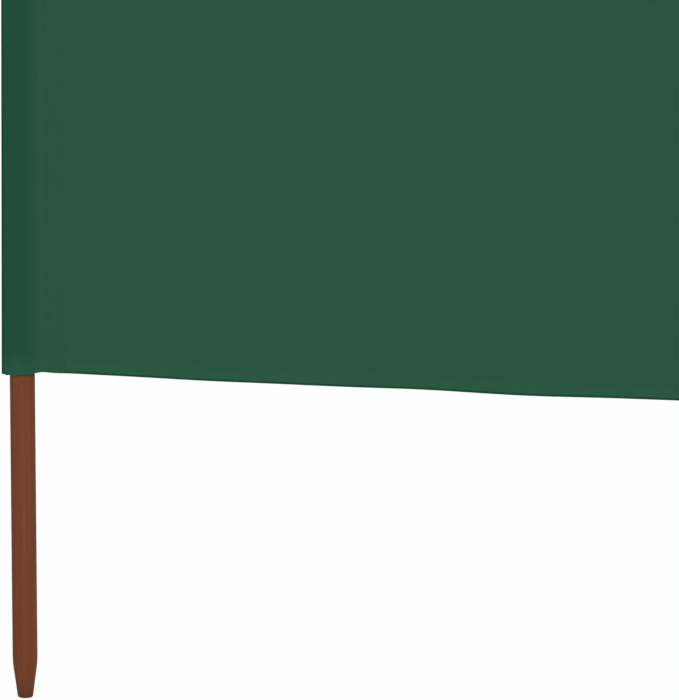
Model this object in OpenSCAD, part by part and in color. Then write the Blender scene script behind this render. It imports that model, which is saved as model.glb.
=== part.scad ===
// A beach windbreak: bays of cloth between pointed wooden posts, which stand in sewn sleeves.
// The row zigzags along X, its front faces -Y, and the origin is on the tip of the middle post.

/* [Row] */
// Number of cloth bays
bay_count = 6; // [2:2:6]
// Distance between the axes of neighbouring posts
bay_pitch = 1330; // [900:10:1600]
// Angle in degrees between each bay and the line of the row
zigzag = 15; // [0:1:30]

/* [Posts] */
// Diameter of a post
post_d = 25; // [20:0.5:32]
// Length of a post, with its point
post_len = 1100; // [1000:10:1500]
// Length of the turned point
tip_len = 37; // [20:1:80]
// Diameter at the end of the point
tip_d = 15.5; // [10:0.5:18]
// Rounding of the rim at the end of the point
tip_round = 2; // [0.5:0.25:3]
// Rounding of the rim at the top of a post
top_round = 2.5; // [0.5:0.25:5]

/* [Cloth] */
// Height of the cloth from edge to edge
cloth_h = 800; // [500:10:900]
// Thickness of one layer of cloth
cloth_t = 0.8; // [0.5:0.1:1.2]
// Drop of a bay's edges midway between its posts
sag = 5; // [0:1:30]
// Height of the folded hems
hem_h = 14; // [8:1:30]

/* [Sleeves] */
// Gap between a post and the sleeve around it
sleeve_gap = 0.6; // [0.3:0.1:2]
// Distance from the surface of a post to the edge of the bay in its seam
sleeve_wing = 9; // [6:1:30]
// Width of the seam that holds the edge of a bay
seam_w = 22; // [8:1:40]
// Height over which a sleeve closes above the end of its post
crown_h = 16; // [10:1:40]
// Slack beyond an end post at the lower edge of its sleeve
slack_low = 7.5; // [1:0.5:12]
// Slack beyond an end post at the top of its sleeve
slack_high = 1.5; // [0.5:0.5:10]
// Rounding of the fold at the outer edge of an end sleeve
fold_r = 4; // [2:0.5:6]

/* [Hidden] */
$fn = 64;
post_r = post_d / 2;
post_count = bay_count + 1;
middle_post = bay_count / 2 + 1;
cloth_top = post_len + crown_h + hem_h;
cloth_low = cloth_top - cloth_h;
// Distance along a bay from the axis of a post to the edge of the bay, and to the end of its seam
seam_x = post_r + sleeve_wing;
seam_end = seam_x + seam_w;
// Radius of the middle of the cloth where it wraps a post
wrap_r = post_r + sleeve_gap + cloth_t / 2;
// Flat pieces in the curve of the cloth round a post, and round a fold
wrap_steps = 14;
fold_steps = 4;
// Flat pieces in the sagging edge of a bay
sag_steps = 24;
// Layers of cloth folded to the back in a hem
hem_layers = 2;
// Steps in the rounding of a rim
rim_steps = 4;
// Angle to either side of its middle over which a layer always follows the post
least_wrap = 1;
// Shares of the crown's height, and of an end sleeve's height round its post, that have a section
crown_shares = [0, 0.35, 0.7, 1];
end_shares = [0, 0.2, 0.4, 0.6, 0.8];
cloth_green = [0.165, 0.333, 0.255];
post_brown = [0.451, 0.259, 0.176];

// Direction of a bay, from its left post to its right one
function bay_angle(j) = (j % 2 == 1) ? -zigzag : zigzag;
// Direction of the bay on either side of a post, pointing away from the post
function right_angle(k) = bay_angle(k);
function left_angle(k) = bay_angle(k - 1) + 180;
// Place of a post in plan
function post_line(k) = (k % 2 == 1) ? bay_pitch * sin(zigzag) : 0;
function post_place(k) = [
    (k - middle_post) * bay_pitch * cos(zigzag),
    post_line(k) - post_line(middle_post)
];

function polar(r, a) = [r * cos(a), r * sin(a)];
function turned(p, a) = [p.x * cos(a) - p.y * sin(a), p.x * sin(a) + p.y * cos(a)];
function flipped(path) = [for (p = path) [p.x, -p.y]];
function backwards(list) = [for (i = [len(list) - 1:-1:0]) list[i]];
function mixed(a, b, share) = a * (1 - share) + b * share;
function mixed_path(a, b, share) = [for (i = [0:len(a) - 1]) mixed(a[i], b[i], share)];
// Direction from a circle's centre to where a line from the point p touches the circle
function touch_angle(p, r) = atan2(p.y, p.x) + acos(r / norm(p));
// Points of an arc, with both its ends
function arc(r, from, to, steps) = [for (i = [0:steps]) polar(r, mixed(from, to, i / steps))];
// Length along a path up to its point i
function run_length(path, i) = i == 0 ? 0 : run_length(path, i - 1) + norm(path[i] - path[i - 1]);

// Direction to the left of a path between its points i and i + 1
function side_normal(path, i) = let (d = path[i + 1] - path[i]) [-d.y, d.x] / norm(d);
// A path moved to its left by the distance d
function beside(path, d) = let (last = len(path) - 1) [
    for (i = [0:last])
        let (
            n1 = side_normal(path, max(i - 1, 0)),
            n2 = side_normal(path, min(i, last - 1))
        )
        path[i] + d * (n1 + n2) / (1 + n1 * n2)
];

// The edge of the cloth where it leaves a bay: the end of the seam, then the edge of the bay
function seam_path() = [[seam_end, cloth_t], [seam_x, cloth_t]];
touch = touch_angle([seam_x, cloth_t], wrap_r);

// Back layer of a sleeve between two bays, from right to left, round the post
function full_layer(right, left) = let (middle = (right + left) / 2) concat(
    [for (p = seam_path()) turned(p, right)],
    arc(wrap_r, min(right + touch, middle - least_wrap), max(left - touch, middle + least_wrap), wrap_steps),
    [for (p = backwards(seam_path())) turned([p.x, -p.y], left)]
);
// The same layer where it lies flat in the closed top
function flat_layer(right, left) = let (
    half = (left - right) / 2,
    from = turned([wrap_r * cos(touch), cloth_t], right),
    to = turned([wrap_r * cos(touch), -cloth_t], left),
    corner = polar(cloth_t / sin(half), right + half)
) concat(
    [for (p = seam_path()) turned(p, right)],
    [for (i = [0:wrap_steps]) let (s = 2 * i / wrap_steps)
        s < 1 ? mixed(from, corner, s) : mixed(corner, to, s - 1)],
    [for (p = backwards(seam_path())) turned([p.x, -p.y], left)]
);

// Half of an end sleeve, from the back seam round the post to the outer fold
function full_half(slack) = let (
    fold_x = wrap_r + slack - fold_r,
    leave = 180 - acos((wrap_r - fold_r) / fold_x)
) concat(
    seam_path(),
    arc(wrap_r, touch, leave, wrap_steps / 2),
    [for (p = arc(fold_r, leave, 180, fold_steps)) p - [fold_x, 0]]
);
// The same half pressed flat, with its length kept; the fold keeps room for the closing strip
function flat_half(slack) = let (full = full_half(slack), last = len(full) - 1) [
    for (i = [0:last])
        i < 2 ? full[i]
        : [seam_x - run_length(full, i) + run_length(full, 1), i == last ? 0 : cloth_t]
];
function whole_end(half) = let (other = backwards(flipped(half)))
    concat(half, [for (i = [1:len(other) - 1]) other[i]]);

// Sections of a sleeve from its lower edge to its top: each has its height, and its fullness from 1 to 0
crown = concat(
    [for (s = crown_shares) [post_len + s * crown_h, (1 + cos(180 * s)) / 2]],
    [[cloth_top, 0]]
);
sections = concat([[cloth_low, 1]], crown);
end_sections = concat([for (s = end_shares) [mixed(cloth_low, post_len, s), 1]], crown);
function end_slack(z) = mixed(slack_low, slack_high, min(1, (z - cloth_low) / (post_len - cloth_low)));

// A sheet of cloth through sections of equal point count, each at its own height
module sheet(paths, heights) {
    rows = len(paths);
    n = len(paths[0]);
    surface_points = [
        for (side = [1, -1], i = [0:rows - 1])
            for (p = beside(paths[i], side * cloth_t / 2)) [p.x, p.y, heights[i]]
    ];
    function left(i, j) = i * n + j;
    function right(i, j) = rows * n + i * n + j;
    quads = concat(
        [for (i = [0:rows - 2], j = [0:n - 2])
            [left(i, j), left(i, j + 1), left(i + 1, j + 1), left(i + 1, j)]],
        [for (i = [0:rows - 2], j = [0:n - 2])
            [right(i, j), right(i + 1, j), right(i + 1, j + 1), right(i, j + 1)]],
        [for (j = [0:n - 2]) [left(0, j), right(0, j), right(0, j + 1), left(0, j + 1)]],
        [for (j = [0:n - 2])
            [left(rows - 1, j), left(rows - 1, j + 1), right(rows - 1, j + 1), right(rows - 1, j)]],
        [for (i = [0:rows - 2]) [left(i, 0), left(i + 1, 0), right(i + 1, 0), right(i, 0)]],
        [for (i = [0:rows - 2])
            [left(i, n - 1), right(i, n - 1), right(i + 1, n - 1), left(i + 1, n - 1)]]
    );
    polyhedron(
        surface_points,
        [for (q = quads, half = [0, 1]) half == 0 ? [q[0], q[1], q[2]] : [q[0], q[2], q[3]]]
    );
}

// A round stake with a turned point and softened rims
module post(k) {
    tip_rim = [tip_d / 2 - tip_round, tip_round];
    top_rim = [post_r - top_round, post_len - top_round];
    shoulder = [post_r, tip_len] - tip_rim;
    shoulder_touch = atan2(shoulder.y, shoulder.x) - acos(tip_round / norm(shoulder));
    color(post_brown)
        translate(post_place(k))
            rotate_extrude()
                polygon(concat(
                    [[0, 0]],
                    [for (p = arc(tip_round, -90, shoulder_touch, rim_steps)) tip_rim + p],
                    [[post_r, tip_len]],
                    [for (p = arc(top_round, 0, 90, rim_steps)) top_rim + p],
                    [[0, post_len]]
                ));
}

// Drop of a bay's edges at the distance x along it
function drop(x) = let (u = (x - seam_end) / (bay_pitch - 2 * seam_end))
    (u < 0 || u > 1) ? 0 : 4 * sag * u * (1 - u);
// A strip of a bay in its own plane between two heights, with sagging edges
module bay_strip(into_seams, low, high) {
    xs = concat(
        into_seams ? [seam_x] : [],
        [for (i = [0:sag_steps]) mixed(seam_end, bay_pitch - seam_end, i / sag_steps)],
        into_seams ? [bay_pitch - seam_x] : []
    );
    polygon(concat(
        [for (x = xs) [x, low - drop(x)]],
        [for (x = backwards(xs)) [x, high - drop(x)]]
    ));
}

// One bay of cloth, with its hems folded to the back between the seams
module panel(j) {
    hem_t = hem_layers * cloth_t;
    color(cloth_green)
        translate(post_place(j))
            rotate(bay_angle(j)) rotate([90, 0, 0]) {
                translate([0, 0, -cloth_t / 2])
                    linear_extrude(cloth_t) bay_strip(true, cloth_low, cloth_top);
                translate([0, 0, -cloth_t / 2 - hem_t])
                    linear_extrude(hem_t) {
                        bay_strip(false, cloth_low, cloth_low + hem_h);
                        bay_strip(false, cloth_top - hem_h, cloth_top);
                    }
            }
}

// Sleeve folded round the post at an end of the row, with its seam towards the given direction
module end_sleeve(k, angle) {
    color(cloth_green)
        translate(post_place(k))
            rotate(angle)
                sheet(
                    [for (s = end_sections) let (slack = end_slack(s[0]))
                        whole_end(mixed_path(flat_half(slack), full_half(slack), s[1]))],
                    [for (s = end_sections) s[0]]
                );
}

// Layer of a sleeve behind the post, between two bays
module sleeve_layer(right, left) {
    sheet(
        [for (s = sections) mixed_path(flat_layer(right, left), full_layer(right, left), s[1])],
        [for (s = sections) s[0]]
    );
}
module sleeve_back(k) {
    color(cloth_green)
        translate(post_place(k))
            sleeve_layer(right_angle(k), left_angle(k));
}
module sleeve_front(k) {
    color(cloth_green)
        translate(post_place(k))
            mirror([0, 1, 0]) sleeve_layer(-right_angle(k), 360 - left_angle(k));
}

// Strip sewn in between the layers at the top of a sleeve, which rests on the end of the post
module closing_strip(k) {
    angles = concat(
        k < post_count ? [right_angle(k)] : [],
        k > 1 ? [left_angle(k)] : []
    );
    past_axis = len(angles) == 1 ? post_r : 0;
    color(cloth_green)
        translate([each post_place(k), post_len])
            linear_extrude(cloth_top - post_len)
                for (a = angles)
                    rotate(a)
                        translate([-past_axis, -cloth_t / 2])
                            square([seam_x + past_axis, cloth_t]);
}

for (k = [1:post_count])
    post(k);
for (j = [1:bay_count])
    panel(j);
end_sleeve(1, right_angle(1));  // end_sleeve_left
end_sleeve(post_count, left_angle(post_count));  // end_sleeve_right
for (k = [2:bay_count])
    sleeve_front(k);
for (k = [2:bay_count])
    sleeve_back(k);
for (k = [1:post_count])
    closing_strip(k);
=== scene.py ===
import math

import bpy
import numpy as np
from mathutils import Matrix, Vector


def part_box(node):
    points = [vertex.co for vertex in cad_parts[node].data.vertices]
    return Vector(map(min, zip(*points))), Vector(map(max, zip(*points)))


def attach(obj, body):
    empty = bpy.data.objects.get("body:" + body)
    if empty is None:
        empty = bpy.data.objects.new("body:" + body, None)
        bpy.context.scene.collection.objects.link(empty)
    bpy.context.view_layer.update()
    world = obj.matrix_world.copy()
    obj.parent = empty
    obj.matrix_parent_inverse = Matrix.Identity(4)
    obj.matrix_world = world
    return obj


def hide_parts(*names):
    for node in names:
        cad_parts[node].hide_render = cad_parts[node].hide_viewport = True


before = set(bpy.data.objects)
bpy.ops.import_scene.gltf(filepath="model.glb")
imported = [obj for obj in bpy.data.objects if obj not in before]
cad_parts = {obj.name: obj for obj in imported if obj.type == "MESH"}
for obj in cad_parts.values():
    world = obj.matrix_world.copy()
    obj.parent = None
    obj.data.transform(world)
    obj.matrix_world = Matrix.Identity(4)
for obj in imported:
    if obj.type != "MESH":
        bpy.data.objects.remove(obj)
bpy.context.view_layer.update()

# A beach windbreak: bays of cloth hang between wooden posts, which stand in sewn sleeves.
# Lengths are in metres. The places of the posts and the edges of the cloth come from the CAD parts in
# model.glb.


def corners(node):
    """Lowest and highest corner of a CAD node as arrays."""
    low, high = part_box(node)
    return np.array(low), np.array(high)


POST_COUNT = sum(name.startswith("post_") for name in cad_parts)
POST_BOXES = [corners(f"post_{k + 1}") for k in range(POST_COUNT)]
AXES = [(low[:2] + high[:2]) / 2 for low, high in POST_BOXES]
POST_R = (POST_BOXES[0][1][0] - POST_BOXES[0][0][0]) / 2
POST_TOP = POST_BOXES[0][1][2]
CLOTH_LOW, CLOTH_TOP = (corner[2] for corner in corners("end_sleeve_left"))
CLOTH_H = CLOTH_TOP - CLOTH_LOW

# Posts: the turned tip and the softened rims as in the solids, and what makes the wood less even
TIP_R, TIP_LEN, TIP_ROUND, TOP_ROUND = 0.00775, 0.037, 0.002, 0.0025
BEND_LOW, BEND_UP = 0.22, 0.008  # the rounded bend above the tip: share of the cone, height above it
OUT_OF_ROUND = 0.003  # as a share of the radius
LOBES = ((1.0, 2, 2.1), (0.7, 3, -3.3), (0.4, 7, 5.0))  # of this: strength, number, turn with height

# Cloth and sewing, as in the solids
LAYER = 0.0008  # from the middle of one layer of cloth to the middle of the next
HEM_H = 0.014
SAG = 0.005  # drop of a bay's edges midway between its posts
SEAM_X = POST_R + 0.009  # from the axis of a post to the edge of a bay
SEAM_END = SEAM_X + 0.022  # to the end of the seam that holds this edge
WRAP_R = POST_R + 0.001  # middle of the cloth where it wraps a post
FOLD_R = 0.004  # rounding of the outer fold of an end sleeve
CROWN_H = CLOTH_TOP - POST_TOP - HEM_H  # height over which a sleeve closes

# Finer forms of the sewn cloth
FLAP = 0.0009  # from the middle of a bay to the sleeve's cloth sewn on it
FLAP_EDGE, FLAP_PRESS = 0.0002, 0.004  # the same at the edge of this cloth, and the width that is pressed
PRESSED_HEM, PRESS_EASE = 0.35, 0.006  # share of a hem's thickness under a sleeve, and where this ends
HEM_FOLD = 0.0011  # rounding of the lower and upper edge of a hem
RAW_EDGE = 0.002  # from the fold of a hem to the raw edge inside it
SEAM_PULL = 0.0006  # how far the seam pulls up the lower edge of a bay
SEAM_EASE = 0.012  # width beside the edge of a bay where its seam lets go
EDGE_REACH = 0.05  # height over which the forms of a lower edge die out
SLACK_LOW, SLACK_HIGH = 0.0080, 0.0007  # beyond an end post, at the lower edge and at the top
SLACK_CROWN, SLACK_CROWN_H = 0.004, 0.07  # more of it under the closed top, where the sleeve flattens
PINCH = 0.003  # width of the pinch beside the outer fold of a flattened end sleeve
CORNER_DROP, CORNER_H = 0.003, 0.012  # how far the top of an end sleeve falls towards its fold
CORNER_FROM, CORNER_W = 0.006, 0.030  # where this begins, along the bay from the post, and its width
FLARE, FLARE_H = 0.0012, 0.008  # how far a sleeve's lower edge stands off, and over which height
CALM_AT, CALM_W = 0.020, 0.010  # the outer fold of an end sleeve, where the cloth stays even
RIPPLE, RIPPLE_PITCH, RIPPLE_TURN = 0.0002, (0.19, 0.083), (5, -7)  # unevenness round a post
GATHER, GATHER_WAVES = 0.0004, 40  # puckers where the top of a sleeve closes
GATHER_AT, GATHER_H = 0.7, 0.008  # where they are, as a share of CROWN_H, and how far they reach
ROUND_EASE, SEWN_EASE = 0.2, 0.05  # shares of the way round where these forms set in, and the seam ends
TURNED_IN, SEWN_FLATTER = 0.7 * LAYER, 0.6  # inset of a sleeve's lower hem, and how much less in a seam
SHUT, SHUT_H = 0.9 * FLAP, 0.8 * HEM_H  # inset and height of the allowance that shuts the top
# How far a sleeve's lower edge hangs down, at places along the bay from the axis of the post
HANG_AT = (-0.021, -0.0125, -0.009, -0.0055, 0.0, 0.006, 0.0105, 0.0145, SEAM_X)
HANG = (0.0029, 0.0033, 0.0024, 0.0029, 0.0020, 0.0016, 0.0022, 0.0006, 0.0)
STITCH_PITCH, STITCH_LEN, STITCH_W, STITCH_H = 0.0042, 0.0031, 0.0007, 0.0003
STITCH_INSET = 0.003  # from the edge of a seam or hem to its stitches
STITCH_END = 0.004  # from a seam to the first stitch of a hem

# Folds of the bays
BELLY, BELLY_EDGE = (0.012, 0.022), 0.45  # midway between the posts, and its share along the hems
HELD = 0.10  # width beside a seam where the cloth is held flat
# Along the lower and the upper edge: places along the bay, how far they may shift, height, reach
LOW_FOLDS = (np.linspace(0.25, 1.10, 5), 0.05, (0.006, 0.013), (0.12, 0.26))
HIGH_FOLDS = (np.linspace(0.30, 1.05, 4), 0.06, (0.005, 0.010), (0.10, 0.18))
FOLD_WIDTH, FOLD_LEAN = (0.05, 0.09), (-0.5, 0.5)
# Fanning out from the two upper and the two lower corners: height and reach
FANS = [(0.0060, 0.30), (0.0060, 0.30), (0.0020, 0.22), (0.0020, 0.22)]
FAN_SPOKES, FAN_START = 11, 0.09
# Puckers: height, pitch along the two seams and the two hems, and how far they reach from these
PUCKER, PUCKER_PITCH = 0.00022, (0.034, 0.037, 0.041, 0.044)
SEAM_PUCKER, HEM_PUCKER = 0.016, 0.012
# The first bay is as flat as the photo shows it. Its lower folds: place, height, width, lean, reach
FIRST_BELLY = 0.004
FIRST_FANS = [(0.0030, 0.15), FANS[1], (0.0004, 0.14), FANS[3]]
FIRST_LOW_FOLDS = [
    (0.19, 0.003, 0.050, 0.0, 0.08),
    (0.40, -0.005, 0.050, 0.1, 0.10),
    (0.515, 0.006, 0.055, 0.2, 0.12),
    (0.85, -0.004, 0.070, -0.2, 0.10),
    (1.05, 0.004, 0.060, 0.2, 0.10),
]

# Fineness of the meshes, and seeds
PANEL_COLUMNS = 180
ROW_STEP = 0.0068
FLAP_COLUMNS = 5
ROUND_COLUMNS, END_COLUMNS = 40, 60  # round an inner post, and round each half of an end post
POST_SEGMENTS, SHAFT_RINGS = 56, 44
POST_SEED, END_SEED, INNER_SEED, BAY_SEED = 20, 40, 50, 70


def smooth(t):
    """Eased step from 0 to 1."""
    t = np.clip(t, 0.0, 1.0)
    return t * t * (3 - 2 * t)


def bell(t):
    """Rounded peak of height 1 at 0."""
    return np.exp(-t * t)


def run_of(points):
    """Length along a line up to each of its points."""
    return np.concatenate([[0], np.cumsum(np.linalg.norm(np.diff(points, axis=0), axis=1))])


def values_at(where, run, values):
    """Points or directions given along a line, at other lengths along it."""
    return np.stack([np.interp(where, run, axis) for axis in values.T], axis=1)


def spread(points, count):
    """count points spread evenly along a line."""
    run = run_of(points)
    return values_at(np.linspace(0, run[-1], count), run, points)


def edge_folds(chance, places, shift, rises, reaches):
    """Folds along an edge of a bay: place, height, width, lean and reach of each."""
    count = len(places)
    places = places + chance.uniform(-shift, shift, count)
    rises = chance.uniform(*rises, count) * chance.choice([-1, 1], count)
    return [
        (place, rise, chance.uniform(*FOLD_WIDTH), chance.uniform(*FOLD_LEAN), chance.uniform(*reaches))
        for place, rise in zip(places, rises)
    ]


class Bay:
    """The directions of one bay in plan, and the folds of its cloth."""

    def __init__(self, j):
        chance = np.random.default_rng(BAY_SEED + j)
        step = AXES[j + 1] - AXES[j]
        self.start = AXES[j]
        self.pitch = np.linalg.norm(step)
        self.along = step / self.pitch
        self.front = np.array([self.along[1], -self.along[0]])
        self.belly = FIRST_BELLY if j == 0 else chance.uniform(*BELLY)
        self.phases = chance.uniform(0, 2 * np.pi, 8)
        self.low_folds = edge_folds(chance, *LOW_FOLDS)
        self.high_folds = edge_folds(chance, *HIGH_FOLDS)
        self.fans = FANS
        if j == 0:
            self.fans, self.low_folds = FIRST_FANS, FIRST_LOW_FOLDS

    def relief(self, x, z):
        """How far the cloth stands to the front of the bay's plane."""
        inner = x - SEAM_END
        outer = self.pitch - SEAM_END - x
        up = z - CLOTH_LOW
        down = CLOTH_TOP - z
        u = np.clip(inner / (self.pitch - 2 * SEAM_END), 0, 1)
        rounded = BELLY_EDGE + (1 - BELLY_EDGE) * np.sin(np.pi * up / CLOTH_H)
        out = self.belly * np.sin(np.pi * u) * rounded
        for folds, level in ((self.low_folds, up), (self.high_folds, down)):
            for place, rise, width, lean, reach in folds:
                out = out + rise * bell((x - place - lean * level) / width) * np.exp(-level / reach)
        corner_of = ((inner, down), (outer, down), (inner, up), (outer, up))
        for (side, level), (rise, reach), phase in zip(corner_of, self.fans, self.phases):
            far = np.hypot(side, level)
            turn = np.arctan2(level, np.maximum(side, 1e-6))
            fan = np.cos(FAN_SPOKES * turn + phase) * np.exp(-far / reach) * smooth(far / FAN_START)
            out = out + rise * fan
        out = out * smooth(inner / HELD) * smooth(outer / HELD)
        in_seam = smooth((x - SEAM_X) / SEAM_EASE) * smooth((self.pitch - SEAM_X - x) / SEAM_EASE)
        sewn = (
            (inner / SEAM_PUCKER, z),
            (outer / SEAM_PUCKER, z),
            ((up - HEM_H) / HEM_PUCKER, x),
            ((down - HEM_H) / HEM_PUCKER, x),
        )
        puckers = sum(
            bell(off) * np.sin(2 * np.pi * place / pitch + phase)
            for (off, place), pitch, phase in zip(sewn, PUCKER_PITCH, self.phases[4:])
        )
        return out + PUCKER * in_seam * puckers

    def drop(self, x, z):
        """How far the cloth hangs below a straight line between the posts."""
        u = np.clip((x - SEAM_END) / (self.pitch - 2 * SEAM_END), 0, 1)
        let_go = smooth((np.minimum(x, self.pitch - x) - SEAM_X) / SEAM_EASE)
        return 4 * SAG * u * (1 - u) + SEAM_PULL * let_go * np.exp((CLOTH_LOW - z) / EDGE_REACH)

    def point(self, x, z, out):
        """The point at x along the bay and height z, moved by out to the front of the cloth."""
        x, z, out = np.broadcast_arrays(x, z, out)
        forward = self.relief(x, z) + out
        plan = self.start + x[..., None] * self.along + forward[..., None] * self.front
        return np.concatenate([plan, (z - self.drop(x, z))[..., None]], axis=-1)


BAYS = [Bay(j) for j in range(POST_COUNT - 1)]


# Materials


class Shader:
    """A node material that is put together by calls."""

    def __init__(self, name):
        self.material = bpy.data.materials.new(name)
        self.material.use_nodes = True
        self.tree = self.material.node_tree
        self.surface = self.tree.nodes["Principled BSDF"]

    def put(self, socket, value):
        """Links another socket to a socket, or sets its value."""
        if isinstance(value, bpy.types.NodeSocket):
            self.tree.links.new(value, socket)
        else:
            socket.default_value = value

    def add(self, kind, inputs=(), out=0, **settings):
        """An output of a new node."""
        node = self.tree.nodes.new(kind)
        for name, value in settings.items():
            setattr(node, name, value)
        for key, value in dict(inputs).items():
            self.put(node.inputs[key], value)
        return node.outputs[out]

    def math(self, operation, a, b=0.0):
        return self.add("ShaderNodeMath", {0: a, 1: b}, operation=operation)

    def scaled(self, vector, scale):
        return self.add("ShaderNodeVectorMath", {0: vector, 1: scale}, operation="MULTIPLY")

    def noise(self, vector, scale, detail=2.0):
        return self.add("ShaderNodeTexNoise", {"Vector": vector, "Scale": scale, "Detail": detail})

    def ramp(self, factor, *stops):
        """Colour by a factor. Each stop has its place and its colour."""
        node = self.tree.nodes.new("ShaderNodeValToRGB")
        elements = node.color_ramp.elements
        while len(elements) < len(stops):
            elements.new(0.5)
        for element, (place, colour) in zip(elements, stops):
            element.position = place
            element.color = (*colour, 1)
        self.put(node.inputs[0], factor)
        return node.outputs[0]

    def mix(self, factor, a, b, blend="MIX"):
        """Mix of two colours. The node has its colours at inputs 6 and 7 and at output 2."""
        node = self.tree.nodes.new("ShaderNodeMix")
        node.data_type = "RGBA"
        node.blend_type = blend
        for socket, value in zip((node.inputs[0], node.inputs[6], node.inputs[7]), (factor, a, b)):
            self.put(socket, value if not isinstance(value, tuple) else (*value, 1))
        return node.outputs[2]

    def toned(self, colour, tone):
        """A colour made darker or lighter by a tone around 1."""
        grey = self.add("ShaderNodeCombineColor", {0: tone, 1: tone, 2: tone})
        return self.mix(1.0, colour, grey, "MULTIPLY")

    def blend(self, *shares):
        """Sum of values, each times its share."""
        total, *others = [self.math("MULTIPLY", value, share) for value, share in shares]
        for other in others:
            total = self.math("ADD", total, other)
        return total

    def bump(self, height, strength, distance, normal=None):
        inputs = {"Height": height, "Strength": strength, "Distance": distance}
        if normal is not None:
            inputs["Normal"] = normal
        return self.add("ShaderNodeBump", inputs)

    def matt(self, value, least, more, gloss):
        """A rough surface, and more so where a value is high, with a little gloss."""
        rough = self.math("ADD", least, self.math("MULTIPLY", value, more))
        self.put(self.surface.inputs["Roughness"], rough)
        self.surface.inputs["Specular IOR Level"].default_value = gloss


# Tones of the cloth, by a point attribute: painted shade along folded edges, painted shade over a post and
# half of it, the cloth's own tone, and the palest tone of the paler hems and of the painted light beside a
# post
EDGE_SHADE, OVER_POST_SHADE, HALF_POST_SHADE, UNSHADED, PALEST = 0.0, 0.4, 0.63, 0.9, 1.0
GREENS = {
    EDGE_SHADE: (0.0140, 0.0420, 0.0270),
    OVER_POST_SHADE: (0.0121, 0.0742, 0.0394),
    HALF_POST_SHADE: (0.0163, 0.0866, 0.0464),
    UNSHADED: (0.0209, 0.0886, 0.0508),
    PALEST: (0.0226, 0.0945, 0.0545),
}
THREAD_PITCH = 0.0007  # between neighbouring threads of the weave
ROUNDS, CROSSINGS = 0.35, 0.25  # shares of the threads' rounds and of their crossings in its height
STREAKS = (900.0, 9.0)  # uneven threads: how many a metre across them, and along them
PATCHES = 6.0  # paler and darker patches a metre
# How much of the tone comes from uneven threads, the weave and the patches, and the tone without them. The
# weave's share is painted shade, darker between the threads
STREAK_TONE, WEAVE_TONE, PATCH_TONE, PLAIN_TONE = 0.30, 0.24, 0.05, 0.7265


def cloth_material():
    """Woven cloth. Its threads run along the UV map, which is the flat cut in metres."""
    s = Shader("windbreak_cloth")
    flat = s.add("ShaderNodeUVMap", uv_map="cut")
    threads = s.scaled(flat, (math.pi / THREAD_PITCH,) * 3)
    waves = s.add("ShaderNodeVectorMath", {0: threads}, operation="SINE")
    split = s.tree.nodes.new("ShaderNodeSeparateXYZ")
    s.put(split.inputs[0], waves)
    warp, weft = split.outputs[0], split.outputs[1]
    over = s.math("MULTIPLY", warp, weft)
    rounds = s.math("ADD", s.math("ABSOLUTE", warp), s.math("ABSOLUTE", weft))
    weave = s.blend((rounds, ROUNDS), (over, CROSSINGS))
    across, along = STREAKS
    warp_streaks = s.noise(s.scaled(flat, (across, along, 1.0)), 1.0)
    weft_streaks = s.noise(s.scaled(flat, (along, across, 1.0)), 1.0)
    streaks = s.math("MULTIPLY", s.math("ADD", warp_streaks, weft_streaks), 0.5)
    patches = s.noise(flat, PATCHES, detail=4.0)
    # The weave darkens the gaps between threads: painted shade
    tone = s.blend((streaks, STREAK_TONE), (weave, WEAVE_TONE), (patches, PATCH_TONE))
    tone = s.math("ADD", tone, PLAIN_TONE)
    # Each point's tone: painted shade over the posts and along folded edges, painted light beside the
    # posts, and paler hems
    tone_and_shade = s.add("ShaderNodeAttribute", out=2, attribute_name="tone_and_shade")
    s.put(s.surface.inputs["Base Color"], s.toned(s.ramp(tone_and_shade, *GREENS.items()), tone))
    slub = s.bump(streaks, strength=0.15, distance=0.0004)
    s.put(s.surface.inputs["Normal"], s.bump(weave, strength=0.4, distance=0.0003, normal=slub))
    s.matt(streaks, least=0.72, more=0.2, gloss=0.06)
    return s.material


THREAD_GREENS = ((0.3, (0.017, 0.072, 0.041)), (0.7, (0.028, 0.100, 0.060)))
TWISTS, LOTS = 2600.0, 40.0  # twists of the thread and changes of its tone a metre


def thread_material():
    """Twisted thread of the cloth's colour."""
    s = Shader("sewing_thread")
    place = s.add("ShaderNodeTexCoord", out="Object")
    twist = s.noise(place, TWISTS, detail=1.0)
    lots = s.noise(place, LOTS)
    s.put(s.surface.inputs["Base Color"], s.ramp(s.blend((twist, 0.5), (lots, 0.5)), *THREAD_GREENS))
    s.put(s.surface.inputs["Normal"], s.bump(twist, strength=0.4, distance=0.0002))
    s.matt(twist, least=0.5, more=0.2, gloss=0.3)
    return s.material


# Stains of the wood from its darkest to its palest grain
STAINS = (
    (0.30, (0.140, 0.0390, 0.0150)),
    (0.50, (0.170, 0.0490, 0.0190)),
    (0.70, (0.200, 0.0600, 0.0240)),
)
# The worn brown is also the painted shade on the left of the first post
PORE_BROWN, WORN_AND_SHADED_BROWN = (0.06, 0.020, 0.011), (0.080, 0.030, 0.017)
PORE_FROM, PORE_DEPTH = 0.66, 0.35  # how rare the open pores are, and how dark
# Fineness of the wood's noise a metre, across the grain and along it, and its detail
GRAIN, FIBRES = (260.0, 5.0, 6.0), (1500.0, 22.0, 3.0)
BANDS, PORES = (60.0, 2.0, 2.0), (2400.0, 90.0, 1.0)
FIBRE_TONE, EVEN_TONE = 0.28, 0.86


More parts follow.
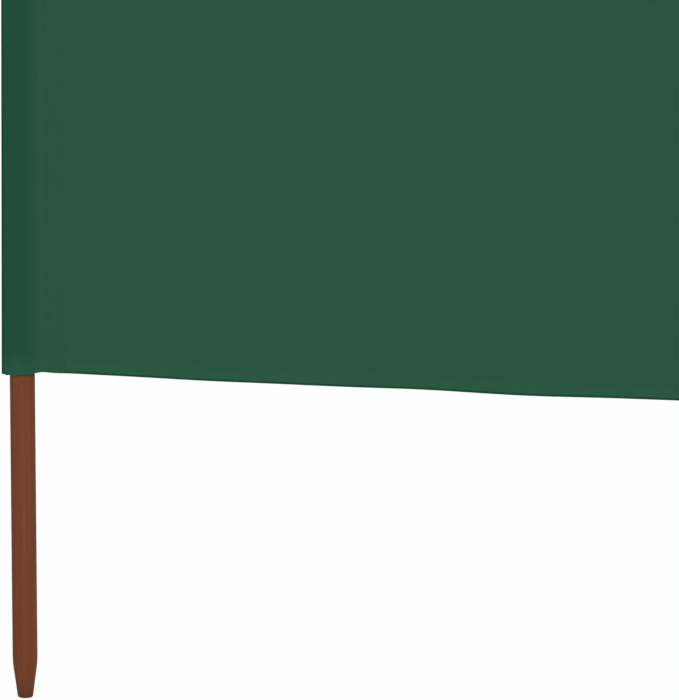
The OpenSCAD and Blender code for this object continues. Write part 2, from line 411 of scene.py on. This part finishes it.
def wood_material():
    """Stained softwood. Its grain runs along the posts, and a point attribute makes it darker: wear at the
    tip, the heart of the wood, and painted shade on the left of the first post.
    """
    s = Shader("stained_wood")
    place = s.add("ShaderNodeTexCoord", out="Object")

    def drawn_out(across, along, detail):
        return s.noise(s.scaled(place, (across, across, along)), 1.0, detail)

    grain, fibres, bands, pores = (drawn_out(*noise) for noise in (GRAIN, FIBRES, BANDS, PORES))
    tone = s.math("ADD", EVEN_TONE, s.math("MULTIPLY", fibres, FIBRE_TONE))
    stain = s.toned(s.ramp(s.blend((grain, 0.5), (bands, 0.5)), *STAINS), tone)
    open_pores = s.math("GREATER_THAN", pores, PORE_FROM)
    stain = s.mix(s.math("MULTIPLY", open_pores, PORE_DEPTH), stain, PORE_BROWN)
    worn_and_shaded = s.add("ShaderNodeAttribute", out=2, attribute_name="wear_and_shade")
    s.put(s.surface.inputs["Base Color"], s.mix(worn_and_shaded, stain, WORN_AND_SHADED_BROWN))
    coarse = s.bump(grain, strength=0.12, distance=0.0008)
    s.put(s.surface.inputs["Normal"], s.bump(fibres, strength=0.2, distance=0.0003, normal=coarse))
    s.matt(fibres, least=0.55, more=0.25, gloss=0.12)
    return s.material


CLOTH, THREAD, WOOD = cloth_material(), thread_material(), wood_material()


# Meshes


def new_piece(name, points, faces, material):
    """A smooth mesh that rides on the one body."""
    mesh = bpy.data.meshes.new(name)
    mesh.from_pydata([tuple(p) for p in points], [], [tuple(f) for f in faces])
    mesh.materials.append(material)
    mesh.shade_smooth()
    piece = bpy.data.objects.new(name, mesh)
    bpy.context.scene.collection.objects.link(piece)
    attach(piece, "root")
    return piece


def grid_faces(rows, columns, closed=False):
    """Quads of a grid; a closed one joins its last column to its first."""
    across = columns if closed else columns - 1
    i, j = np.meshgrid(np.arange(rows - 1) * columns, np.arange(across), indexing="ij")
    i, j = i.ravel(), j.ravel()
    after = (j + 1) % columns
    return np.stack([i + j, i + after, i + columns + after, i + columns + j], 1)


def point_values(piece, name, values):
    """Keeps a number at each point of a piece, for its material."""
    layer = piece.data.attributes.new(name, "FLOAT", "POINT")
    layer.data.foreach_set("value", np.asarray(values, np.float32).ravel())


def cloth_piece(name, points, cut, tone_and_shade):
    """A sheet from a grid of points. cut holds each point's place in the flat cloth."""
    rows, columns = points.shape[:2]
    piece = new_piece(name, points.reshape(-1, 3), grid_faces(rows, columns), CLOTH)
    corner = np.zeros(len(piece.data.loops), np.int32)
    piece.data.loops.foreach_get("vertex_index", corner)
    layer = piece.data.uv_layers.new(name="cut")
    layer.data.foreach_set("uv", cut.reshape(-1, 2)[corner].astype(np.float32).ravel())
    # Each point's tone, with its painted shade and light, for the material
    point_values(piece, "tone_and_shade", tone_and_shade)
    return piece


# A stitch has its two ends first, and then a ring of four points round its middle
STITCH_FACES = np.array(
    [(0, 3, 2), (0, 4, 3), (0, 5, 4), (0, 2, 5), (1, 2, 3), (1, 3, 4), (1, 4, 5), (1, 5, 2)]
)


def stitch_rows(name, lines):
    """Stitches along lines of points with the outward direction at each point, as one piece."""
    stitches = []
    for line, outward in lines:
        run = run_of(line)
        count = max(1, int(run[-1] / STITCH_PITCH))
        middle = (np.arange(count) + 0.5) * run[-1] / count
        centre = values_at(middle, run, line)
        tail = values_at(middle - STITCH_LEN / 2, run, line)
        head = values_at(middle + STITCH_LEN / 2, run, line)
        up = values_at(middle, run, outward)
        up = up / np.linalg.norm(up, axis=1, keepdims=True) * STITCH_H
        side = np.cross(up, head - tail)
        side = side / np.linalg.norm(side, axis=1, keepdims=True) * STITCH_W / 2
        ring = [centre + side, centre + up, centre - side, centre - up]
        stitches.append(np.stack([tail, head, *ring], axis=1))
    stitches = np.concatenate(stitches)
    count, size = stitches.shape[:2]
    faces = np.arange(count)[:, None, None] * size + STITCH_FACES
    return new_piece(name, stitches.reshape(-1, 3), faces.reshape(-1, 3), THREAD)


# Posts

# Wear: how much, and over which height from the tip, for the scuffed tip and for its rim
SCUFFS = ((0.5, 0.018), (0.45, 0.002))
SCUFF_WAVER, SCUFF_WAVES = 0.15, 5  # how uneven this is round the tip
# A darker side of a post: how dark the heart of the wood makes it on the others, and on the first post
# where and how dark its painted shade is, on the left
HEART_DEPTH, FIRST_POST_LEFT_SHADE = (0.2, 0.5), (np.pi, 0.6)
# Its half width as an angle, how far and how often this changes with height, and its soft edge
DARK_SIDE_W, DARK_SIDE_WAVER, DARK_SIDE_WAVES, DARK_SIDE_EASE = 1.05, 0.06, 9, 0.5


def arc(radius, height, rounding, angles):
    """Radius and height along a rounding whose middle is at a radius and height."""
    return [(radius + rounding * math.cos(a), height + rounding * math.sin(a)) for a in angles]


def post_profile():
    """Radius and height of a post from the flat end of its tip to the flat of its top."""
    rim_end = np.radians(-12)  # where the cone begins
    rim = arc(TIP_R - TIP_ROUND, TIP_ROUND, TIP_ROUND, np.linspace(-np.pi / 2, rim_end, 6))
    cone_low = np.array(rim[-1])
    corner = np.array([POST_R, TIP_LEN])
    before = corner + (cone_low - corner) * BEND_LOW
    after = corner + np.array([0, BEND_UP])
    cone = [cone_low + (before - cone_low) * t for t in (0.33, 0.67)]
    shares = np.linspace(0, 1, 7)
    bend = [(1 - t) ** 2 * before + 2 * t * (1 - t) * corner + t * t * after for t in shares]
    margin = 0.012  # keeps the rings of the shaft off both roundings
    levels = np.linspace(after[1] + margin, POST_TOP - TOP_ROUND - margin, SHAFT_RINGS)
    shaft = [(POST_R, z) for z in levels]
    crown = arc(POST_R - TOP_ROUND, POST_TOP - TOP_ROUND, TOP_ROUND, np.linspace(0, np.pi / 2, 7))
    flat_low, flat_top = (TIP_R * 0.45, 0.0), (POST_R * 0.4, POST_TOP)
    return np.array([flat_low, *rim, *cone, *bend, *shaft, *crown, flat_top])


def post_wear_and_shade(k, height, angle, chance, phases):
    """How worn or dark the wood is, by height and angle: wear at the tip, the heart of the wood, and
    painted shade on the first post.
    """
    scuffed = sum(depth * bell(height / reach) for depth, reach in SCUFFS)[:, None]
    scuffed = scuffed * (1 - SCUFF_WAVER + SCUFF_WAVER * np.cos(SCUFF_WAVES * angle + phases[3]))
    # On the first post the darker side is painted shade on its left; on the others it is the heart of the
    # wood
    dark_side, depth = FIRST_POST_LEFT_SHADE if k == 0 else (phases[4], chance.uniform(*HEART_DEPTH))
    from_dark_side = np.abs((angle - dark_side + np.pi) % (2 * np.pi) - np.pi)
    edge = DARK_SIDE_W + DARK_SIDE_WAVER * np.cos(DARK_SIDE_WAVES * height + phases[5])[:, None]
    return np.maximum(scuffed, depth * smooth((edge - from_dark_side) / DARK_SIDE_EASE))


def post_piece(k):
    """A post that is not quite round, closed at both ends."""
    chance = np.random.default_rng(POST_SEED + k)
    radius, height = post_profile().T
    angle = np.linspace(0, 2 * np.pi, POST_SEGMENTS, endpoint=False)
    phases = chance.uniform(0, 2 * np.pi, 6)
    uneven = sum(
        share * np.cos(count * angle[None] + phase + turn * height[:, None])
        for (share, count, turn), phase in zip(LOBES, phases)
    )
    r = radius[:, None] * (1 + OUT_OF_ROUND * uneven / sum(share for share, *_ in LOBES))
    x, y = AXES[k][0] + r * np.cos(angle), AXES[k][1] + r * np.sin(angle)
    points = np.stack([x, y, np.broadcast_to(height[:, None], r.shape)], axis=-1)
    ring = np.arange(POST_SEGMENTS)
    ends = [ring[::-1], ring + r.size - POST_SEGMENTS]
    faces = [*grid_faces(len(radius), POST_SEGMENTS, closed=True), *ends]
    piece = new_piece(f"post_{k + 1}_wood", points.reshape(-1, 3), faces, WOOD)
    # Wear, the heart of the wood and, on the first post, painted shade
    point_values(piece, "wear_and_shade", post_wear_and_shade(k, height, angle, chance, phases))
    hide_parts(f"post_{k + 1}")


# Bays

EDGE_LINE = 0.0008  # width of the painted shade along a folded edge, beside its rounding
EDGE_TONE = 0.15  # share of its tone that a bay keeps on this line
HEM_PALE_TO, HEM_PALE_EASE = 0.8 * HEM_H, 0.3 * HEM_H  # the paler hem, and its soft upper edge


def hem_profile():
    """A twice-turned hem from its raw edge to the face of the cloth: level above the edge, and depth."""
    half = HEM_FOLD / 2
    turn = np.linspace(0, np.pi, 7)[1:-1]
    upper = [(HEM_H - half * (1 - math.sin(a)), HEM_FOLD * (1.5 - math.cos(a) / 2)) for a in turn]
    lower = [(HEM_FOLD * (1 - math.sin(a)), HEM_FOLD * (1 + math.cos(a))) for a in turn]
    inside = [(level, HEM_FOLD) for level in (RAW_EDGE, HEM_H - half)]
    back = [(level, 2 * HEM_FOLD) for level in (HEM_H - half, HEM_H / 2, HEM_FOLD)]
    return inside + upper + back + lower


def cloth_rows(profile):
    """Height and depth of a bay's rows, from hem to hem round its front, and the length along them."""
    low = [(CLOTH_LOW + level, depth) for level, depth in profile]
    high = [(CLOTH_TOP - level, depth) for level, depth in reversed(profile)]
    from_z, to_z = CLOTH_LOW + HEM_FOLD, CLOTH_TOP - HEM_FOLD
    near = np.array([0, EDGE_LINE, 2 * EDGE_LINE])
    body = np.linspace(from_z + near[-1], to_z - near[-1], round((to_z - from_z) / ROW_STEP))
    face = [(z, 0.0) for z in (*(from_z + near[:-1]), *body, *(to_z - near[-2::-1]))]
    rows = np.array(low + face + high)
    return rows[:, 0], rows[:, 1], run_of(rows)


def hem_tone_and_edge_shade(heights):
    """The hems are paler than the rest of a bay, and their folded edges darker with painted shade."""
    level = np.minimum(heights - CLOTH_LOW, CLOTH_TOP - heights)
    tone = UNSHADED + (PALEST - UNSHADED) * (1 - smooth((level - HEM_PALE_TO) / HEM_PALE_EASE))
    return tone * (EDGE_TONE + (1 - EDGE_TONE) * smooth((level - HEM_FOLD) / EDGE_LINE - 1))


def bay_piece(j):
    """The cloth of one bay with its hems and their stitches."""
    bay = BAYS[j]
    heights, depths, run = cloth_rows(hem_profile())
    xs = np.linspace(SEAM_X, bay.pitch - SEAM_X, PANEL_COLUMNS)
    free = smooth((xs - SEAM_END) / PRESS_EASE) * smooth((bay.pitch - SEAM_END - xs) / PRESS_EASE)
    thick = PRESSED_HEM + (1 - PRESSED_HEM) * free
    points = bay.point(xs[None, :], heights[:, None], -depths[:, None] * thick[None, :])
    u, v = np.meshgrid(xs, run)
    # Paler hems, with painted shade along their folded edges
    tone_and_shade = np.broadcast_to(hem_tone_and_edge_shade(heights)[:, None], points.shape[:2])
    piece = cloth_piece(f"bay_{j + 1}_cloth", points, np.stack([u, v], -1), tone_and_shade)
    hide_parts(f"panel_{j + 1}")
    first, last = SEAM_END + STITCH_END, bay.pitch - SEAM_END - STITCH_END
    open_xs = np.linspace(first, last, 4 * PANEL_COLUMNS)
    lines = []
    for z in (CLOTH_LOW + HEM_H - STITCH_INSET, CLOTH_TOP - HEM_H + STITCH_INSET):
        for side, out in ((1, 0.0), (-1, -2 * HEM_FOLD)):
            line = bay.point(open_xs, z, out)
            lines.append((line, np.broadcast_to(side * np.append(bay.front, 0.0), line.shape)))
    stitches = stitch_rows(f"bay_{j + 1}_hem_stitches", lines)


# Sleeves

# The painted shade over a post gives way from this far beside its axis on, over this width
SHADE_ENDS_FROM, SHADE_END_W = 0.002, 0.018
# A strip of painted light beside a post: its two sides, and how softly each begins
PALE_STRIP, PALE_EASE = (0.010, 0.026), (0.005, 0.006)
# The paler lower hem: its height, how softly it ends, and how far it is as pale towards the outer fold,
# with the width beside the axis over which this changes
SLEEVE_HEM, SLEEVE_HEM_EASE, HEM_AT_FOLD, HEM_FOLD_W = 0.0165, 0.006, 0.4, 0.012
# Painted shade along the outer fold of an end sleeve: share of its tone that is kept, width, soft edge
FOLD_TONE, FOLD_LINE, FOLD_LINE_EASE = 0.2, 4 * EDGE_LINE, 2 * EDGE_LINE


class Arm:
    """One edge of a sleeve, sewn on a face of a bay: side is 1 at the front and -1 at the back."""

    def __init__(self, k, to_right, side):
        self.bay = BAYS[k] if to_right else BAYS[k - 1]
        self.to_right = to_right
        self.side = side
        self.away = self.bay.along if to_right else -self.bay.along
        self.normal = side * self.bay.front

    def plan(self, a, b):
        """Point at a from the post's axis along the bay, and b out from its middle."""
        return np.asarray(a)[..., None] * self.away + np.asarray(b)[..., None] * self.normal

    def ripple(self, a, z):
        """How far the bay moves the cloth sewn on it outwards and down."""
        x = a if self.to_right else self.bay.pitch - a
        return self.side * self.bay.relief(x, z), self.bay.drop(x, z)


# Angle between a bay and the place where the cloth from its edge touches the post's round
TOUCH = math.atan2(FLAP, SEAM_X) + math.acos(WRAP_R / math.hypot(SEAM_X, FLAP))


def flap_line():
    """The sewn edge of a sleeve from its pressed end to the edge of the bay."""
    edge = [
        (SEAM_END - FLAP_PRESS * t, FLAP_EDGE + (FLAP - FLAP_EDGE) * float(smooth(t)))
        for t in np.linspace(0, 1, 6)[:-1]
    ]
    top = [(a, FLAP) for a in np.linspace(SEAM_END - FLAP_PRESS, SEAM_X, FLAP_COLUMNS)]
    return np.array(edge + top)


def circle_line(first, last, radius, count=24):
    """Points round the post's axis from one angle to another."""
    return np.stack([(radius * math.cos(a), radius * math.sin(a)) for a in np.linspace(first, last, count)])


def inner_round(right, left, fullness):
    """From the edge of the right bay round the post to the edge of the left one."""
    start, end = right.plan(SEAM_X, FLAP), left.plan(SEAM_X, FLAP)
    turn = -right.side
    first = math.atan2(right.away[1], right.away[0]) + turn * TOUCH
    last = math.atan2(left.away[1], left.away[0]) - turn * TOUCH
    sweep = turn * ((turn * (last - first)) % (2 * math.pi))
    full = np.concatenate([[start], circle_line(first, first + sweep, WRAP_R), [end]])
    middle = right.normal + left.normal
    corner = middle / np.linalg.norm(middle) * FLAP
    flat = np.stack([start, corner, end])
    return spread(flat, ROUND_COLUMNS) * (1 - fullness) + spread(full, ROUND_COLUMNS) * fullness


def end_round(back, front, fullness, slack):
    """From the edge of the bay at its back round the end post to the edge at its front."""
    fold_x = WRAP_R + slack - FOLD_R
    leave = math.pi - math.acos((WRAP_R - FOLD_R) / fold_x)
    fold = circle_line(leave, math.pi, FOLD_R, 8) - np.array([fold_x, 0])
    half = spread(np.concatenate([[(SEAM_X, FLAP)], circle_line(TOUCH, leave, WRAP_R), fold]), END_COLUMNS)
    run = run_of(half)
    flat = np.stack([SEAM_X - run, FLAP * smooth((run[-1] - run) / PINCH)], axis=1)
    half = flat * (1 - fullness) + half * fullness
    return np.concatenate([back.plan(*half.T), front.plan(*half[::-1].T)[1:]])


def eased(line, passes=4):
    """A line with its sharp corners rounded a little; its ends stay."""
    for _ in range(passes):
        line = np.concatenate([line[:1], (line[:-2] + 2 * line[1:-1] + line[2:]) / 4, line[-1:]])
    return line


def sleeve_rows():
    """Height, fullness and inset of a sleeve's rows from its lower hem up, and the length along them."""
    turn = np.linspace(0, np.pi, 5)[1:-1]
    rows = [(CLOTH_LOW + level, 1.0, TURNED_IN) for level in (HEM_H, LAYER)]
    rows += [(CLOTH_LOW + LAYER * (1 - math.sin(a)), 1.0, TURNED_IN / 2 * (1 + math.cos(a))) for a in turn]
    body = np.linspace(CLOTH_LOW + LAYER, POST_TOP, round((POST_TOP - CLOTH_LOW) / ROW_STEP))
    rows += [(z, 1.0, 0.0) for z in body]
    closing = np.linspace(0, 1, 13)[1:]
    rows += [(POST_TOP + t * CROWN_H, (1 + math.cos(math.pi * t)) / 2, 0.0) for t in closing]
    rows += [(z, 0.0, 0.0) for z in np.linspace(POST_TOP + CROWN_H, CLOTH_TOP - LAYER / 2, 5)[1:]]
    rows += [(CLOTH_TOP - LAYER / 2 * (1 - math.sin(a)), 0.0, SHUT / 2 * (1 - math.cos(a))) for a in turn]
    rows += [(CLOTH_TOP - down, 0.0, SHUT) for down in (LAYER, SHUT_H)]
    rows = np.array(rows)
    return rows, run_of(rows[:, [0, 2]])


def sleeve_line(arms, flap, middle):
    """One row of a sleeve in plan, from the post's axis, with the outward direction along it."""
    first, last = arms
    line = np.concatenate([first.plan(*flap.T)[:-1], middle, last.plan(*flap[::-1].T)[1:]])
    count = len(flap) - 2
    line = np.concatenate([line[:count], eased(line[count:-count]), line[-count:]])
    along = np.gradient(line, axis=0)
    normal = np.stack([along[:, 1], -along[:, 0]], axis=1)
    normal = normal / np.linalg.norm(normal, axis=1, keepdims=True)
    if np.dot(normal[len(flap)], first.normal) < 0:
        normal = -normal
    return line, normal


def sleeve_stand(z, fullness, part, reach, phases):
    """How far the cloth stands off its even round: part is the share of the way round the post."""
    calm = smooth((reach + CALM_AT) / CALM_W)
    ripple = sum(
        1 + np.sin(2 * np.pi * z / pitch + phase + turn * part)
        for pitch, turn, phase in zip(RIPPLE_PITCH, RIPPLE_TURN, phases)
    )
    closing = bell((z - POST_TOP - GATHER_AT * CROWN_H) / GATHER_H)
    return (
        FLARE * math.exp(-(z - CLOTH_LOW) / FLARE_H) * calm
        + RIPPLE * fullness * calm * ripple
        + GATHER * closing * np.sin(GATHER_WAVES * part + phases[2])
    )


def sleeve_drop(z, reach):
    """How far the lower edge of a sleeve hangs down, and the top falls towards the fold of an end."""
    hang = np.interp(reach, HANG_AT, HANG) * math.exp(-(z - CLOTH_LOW) / EDGE_REACH)
    fall = smooth((CORNER_FROM - reach) / CORNER_W) * math.exp((z - CLOTH_TOP) / CORNER_H)
    return hang + CORNER_DROP * fall


def sleeve_piece(name, k, arms, round_at, nodes, seed):
    """A sleeve's cloth from one sewn edge round the post to the other, with its stitches."""
    phases = np.random.default_rng(seed).uniform(0, 2 * np.pi, 3)
    rows, run = sleeve_rows()
    flap = flap_line()
    width = run_of(sleeve_line(arms, flap, round_at(1.0, rows[0, 0]))[0])
    part = np.clip((width - width[len(flap)]) / (width[-len(flap)] - width[len(flap)]), 0, 1)
    tube = smooth(part / ROUND_EASE) * smooth((1 - part) / ROUND_EASE)
    on_flap = 1 - smooth(part / SEWN_EASE) * smooth((1 - part) / SEWN_EASE)
    sewn = ((arms[0], slice(None, len(flap))), (arms[1], slice(-len(flap), None)))
    points, outwards = [], []
    for z, fullness, inset in rows:
        line, normal = sleeve_line(arms, flap, round_at(fullness, z))
        reach = np.max([line @ arm.away for arm in arms], axis=0)
        stand = tube * sleeve_stand(z, fullness, part, reach, phases)
        stand = stand - inset * (1 - SEWN_FLATTER * on_flap)
        line = line + normal * stand[:, None]
        height = z - sleeve_drop(z, reach)
        for arm, where in sewn:
            out, down = arm.ripple(line[where] @ arm.away, z)
            line[where] += out[:, None] * arm.normal
            height[where] -= down
        points.append(np.concatenate([line + AXES[k], height[:, None]], axis=1))
        outwards.append(np.concatenate([normal, np.zeros((len(normal), 1))], axis=1))
    points, outwards = np.array(points), np.array(outwards)
    u, v = np.meshgrid(width, run)
    # The cloth's tone, with painted shade over the post and painted light beside it
    piece = cloth_piece(name, points, np.stack([u, v], -1), sleeve_shade_and_light(points, k, arms))
    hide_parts(*nodes)
    lines = sleeve_stitches(points, outwards, rows, flap)
    stitches = stitch_rows(name.replace("_cloth", "_stitches"), lines)


def sleeve_shade_and_light(points, k, arms):
    """Painted shade over a post: the cloth is darker there than towards the bays, with painted light on a
    strip beside the post and painted shade along the outer fold of an end sleeve.
    """
    from_axis = points[..., :2] - AXES[k]
    reach = np.max([from_axis @ arm.away for arm in arms], axis=0)
    level = points[..., 2] - CLOTH_LOW
    hem = smooth((SLEEVE_HEM - level) / SLEEVE_HEM_EASE)
    hem = hem * (HEM_AT_FOLD + (1 - HEM_AT_FOLD) * smooth(reach / HEM_FOLD_W + 1))
    # Painted shade over the post, giving way towards the bays and at the lower hem
    tone = OVER_POST_SHADE + (UNSHADED - OVER_POST_SHADE) * np.maximum(smooth((reach - SHADE_ENDS_FROM) / SHADE_END_W), hem)
    # Painted light on a strip beside the post
    strip = smooth((reach - PALE_STRIP[0]) / PALE_EASE[0]) * smooth((PALE_STRIP[1] - reach) / PALE_EASE[1])
    tone = tone + (PALEST - UNSHADED) * strip
    if arms[0].bay is not arms[1].bay:
        return tone
    # Painted shade along the outer fold of an end sleeve
    from_fold = reach - reach.min(axis=1, keepdims=True)
    return tone * (FOLD_TONE + (1 - FOLD_TONE) * smooth((from_fold - FOLD_LINE) / FOLD_LINE_EASE))


def sleeve_stitches(points, outwards, rows, flap):
    """Two rows of stitches along each sewn edge, and one along the lower and the upper hem."""
    face = [i for i, row in enumerate(rows) if row[2] == 0]
    near, far = len(flap) - FLAP_COLUMNS, len(flap) - 2
    lines = []
    for column in (near, far, -1 - near, -1 - far):
        lines.append((points[face, column], outwards[face, column]))
    for z in (CLOTH_LOW + HEM_H - STITCH_INSET, CLOTH_TOP - STITCH_INSET):
        row = face[int(np.argmin(np.abs(rows[face, 0] - z)))]
        lines.append((points[row, near:-near], outwards[row, near:-near]))
    return lines


def end_sleeve(name, k):
    """The sleeve of an end post, from the back of its bay to the front."""
    back, front = Arm(k, k == 0, -1), Arm(k, k == 0, 1)

    def round_at(fullness, z):
        share = min(1.0, (z - CLOTH_LOW) / (POST_TOP - CLOTH_LOW))
        crown = SLACK_CROWN * float(smooth((z - POST_TOP) / SLACK_CROWN_H + 1))
        return end_round(back, front, fullness, SLACK_LOW + (SLACK_HIGH - SLACK_LOW) * share + crown)

    nodes = (name, f"closing_strip_{k + 1}")
    sleeve_piece(f"{name}_cloth", k, (back, front), round_at, nodes, END_SEED + k)


def inner_sleeve(face, k, side):
    """The front or back layer of an inner post's sleeve, from its right bay to its left one."""
    right, left = Arm(k, True, side), Arm(k, False, side)

    def round_at(fullness, z):
        return inner_round(right, left, fullness)

    name = f"sleeve_{face}_{k + 1}"
    nodes = (name, f"closing_strip_{k + 1}") if side == 1 else (name,)
    sleeve_piece(f"{name}_cloth", k, (right, left), round_at, nodes, INNER_SEED + k)


for k in range(POST_COUNT):
    post_piece(k)
end_sleeve("end_sleeve_left", 0)
end_sleeve("end_sleeve_right", POST_COUNT - 1)
for k in range(1, POST_COUNT - 1):
    inner_sleeve("front", k, 1)
    inner_sleeve("back", k, -1)
for j in range(POST_COUNT - 1):
    bay_piece(j)


# Camera, in front of the first post and a little to its right, as the photo is taken

FOCAL_PX, IMAGE_H_PX, SENSOR_MM = 4682, 700, 36
CAMERA_FROM_POST = (0.1908, -4.6032)
CAMERA_Z, PITCH_DEG, YAW_DEG = 1.0128, 8.1895, 1.5445
VIEW_END = 1000

camera = bpy.data.objects.new("camera", bpy.data.cameras.new("camera"))
camera.data.sensor_width = SENSOR_MM
camera.data.lens = FOCAL_PX / IMAGE_H_PX * SENSOR_MM
camera.data.clip_end = VIEW_END
camera.location = (AXES[0][0] + CAMERA_FROM_POST[0], AXES[0][1] + CAMERA_FROM_POST[1], CAMERA_Z)
camera.rotation_euler = (math.radians(90 - PITCH_DEG), 0, math.radians(-YAW_DEG))
bpy.context.scene.collection.objects.link(camera)
bpy.context.scene.camera = camera


# Floor and light

FLOOR_HALF, FLOOR_TONE = 400.0, 0.9
FLOOR_WHITE = 0.90  # plain white in what the camera sees of the floor; the rest is lit and keeps the shadow
SKY = 0.2
# Soft lamps: azimuth from the front of the row towards its right end, elevation, strength, angular size
LAMPS = {
    "key": (15, 38, 1.14, 40),
    "left_fill": (-50, 30, 0.70, 70),
    "top": (0, 88, 0.88, 50),
    "back_fill": (170, 45, 1.25, 70),
}


def seen_directly(tree):
    """1 for what the camera sees directly, in gloss or through glass."""
    path = tree.nodes.new("ShaderNodeLightPath")
    total = path.outputs["Is Camera Ray"]
    for name in ("Is Glossy Ray", "Is Transmission Ray"):
        either = tree.nodes.new("ShaderNodeMath")
        either.operation = "MAXIMUM"
        tree.links.new(total, either.inputs[0])
        tree.links.new(path.outputs[name], either.inputs[1])
        total = either.outputs[0]
    return total


def mixed(tree, share, lit, white, output):
    """Shows white in place of the lit shader by a share."""
    mix = tree.nodes.new("ShaderNodeMixShader")
    for source, socket in zip((share, lit, white), mix.inputs):
        tree.links.new(source, socket)
    tree.links.new(mix.outputs[0], tree.nodes[output].inputs["Surface"])


def floor_piece():
    """A plain pale floor."""
    mesh = bpy.data.meshes.new("floor")
    sides = ((-1, -1), (1, -1), (1, 1), (-1, 1))
    mesh.from_pydata([(x * FLOOR_HALF, y * FLOOR_HALF, 0) for x, y in sides], [], [(0, 1, 2, 3)])
    floor = bpy.data.objects.new("floor", mesh)
    bpy.context.scene.collection.objects.link(floor)
    material = bpy.data.materials.new("pale_floor")
    material.use_nodes = True
    tree = material.node_tree
    lit = tree.nodes["Principled BSDF"]
    lit.inputs["Base Color"].default_value = (FLOOR_TONE, FLOOR_TONE, FLOOR_TONE, 1)
    lit.inputs["Roughness"].default_value = 1.0
    lit.inputs["Specular IOR Level"].default_value = 0.0
    white = tree.nodes.new("ShaderNodeEmission")
    white.inputs["Strength"].default_value = 1.0
    share = tree.nodes.new("ShaderNodeMath")
    share.operation = "MULTIPLY"
    share.inputs[1].default_value = FLOOR_WHITE
    tree.links.new(seen_directly(tree), share.inputs[0])
    mixed(tree, share.outputs[0], lit.outputs[0], white.outputs[0], "Material Output")
    mesh.materials.append(material)


def sun(name, azimuth, elevation, strength, angle):
    """A lamp far away, with its angles in degrees."""
    a, e = math.radians(azimuth), math.radians(elevation)
    lamp = bpy.data.lights.new(name, "SUN")
    lamp.energy = strength
    lamp.angle = math.radians(angle)
    place = bpy.data.objects.new(name, lamp)
    towards = Vector((-math.sin(a) * math.cos(e), math.cos(a) * math.cos(e), -math.sin(e)))
    place.rotation_euler = towards.to_track_quat("-Z", "Y").to_euler()
    bpy.context.scene.collection.objects.link(place)


def sky(fill):
    """Even light from all round, with plain white behind the object."""
    world = bpy.data.worlds.new("studio")
    bpy.context.scene.world = world
    world.use_nodes = True
    tree = world.node_tree
    light, white = tree.nodes["Background"], tree.nodes.new("ShaderNodeBackground")
    for node, strength in ((light, fill), (white, 1.0)):
        node.inputs["Color"].default_value = (1, 1, 1, 1)
        node.inputs["Strength"].default_value = strength
    mixed(tree, seen_directly(tree), light.outputs[0], white.outputs[0], "World Output")


floor_piece()
sky(SKY)
for name, lamp in LAMPS.items():
    sun(name, *lamp)

bpy.context.scene.view_settings.view_transform = "Standard"
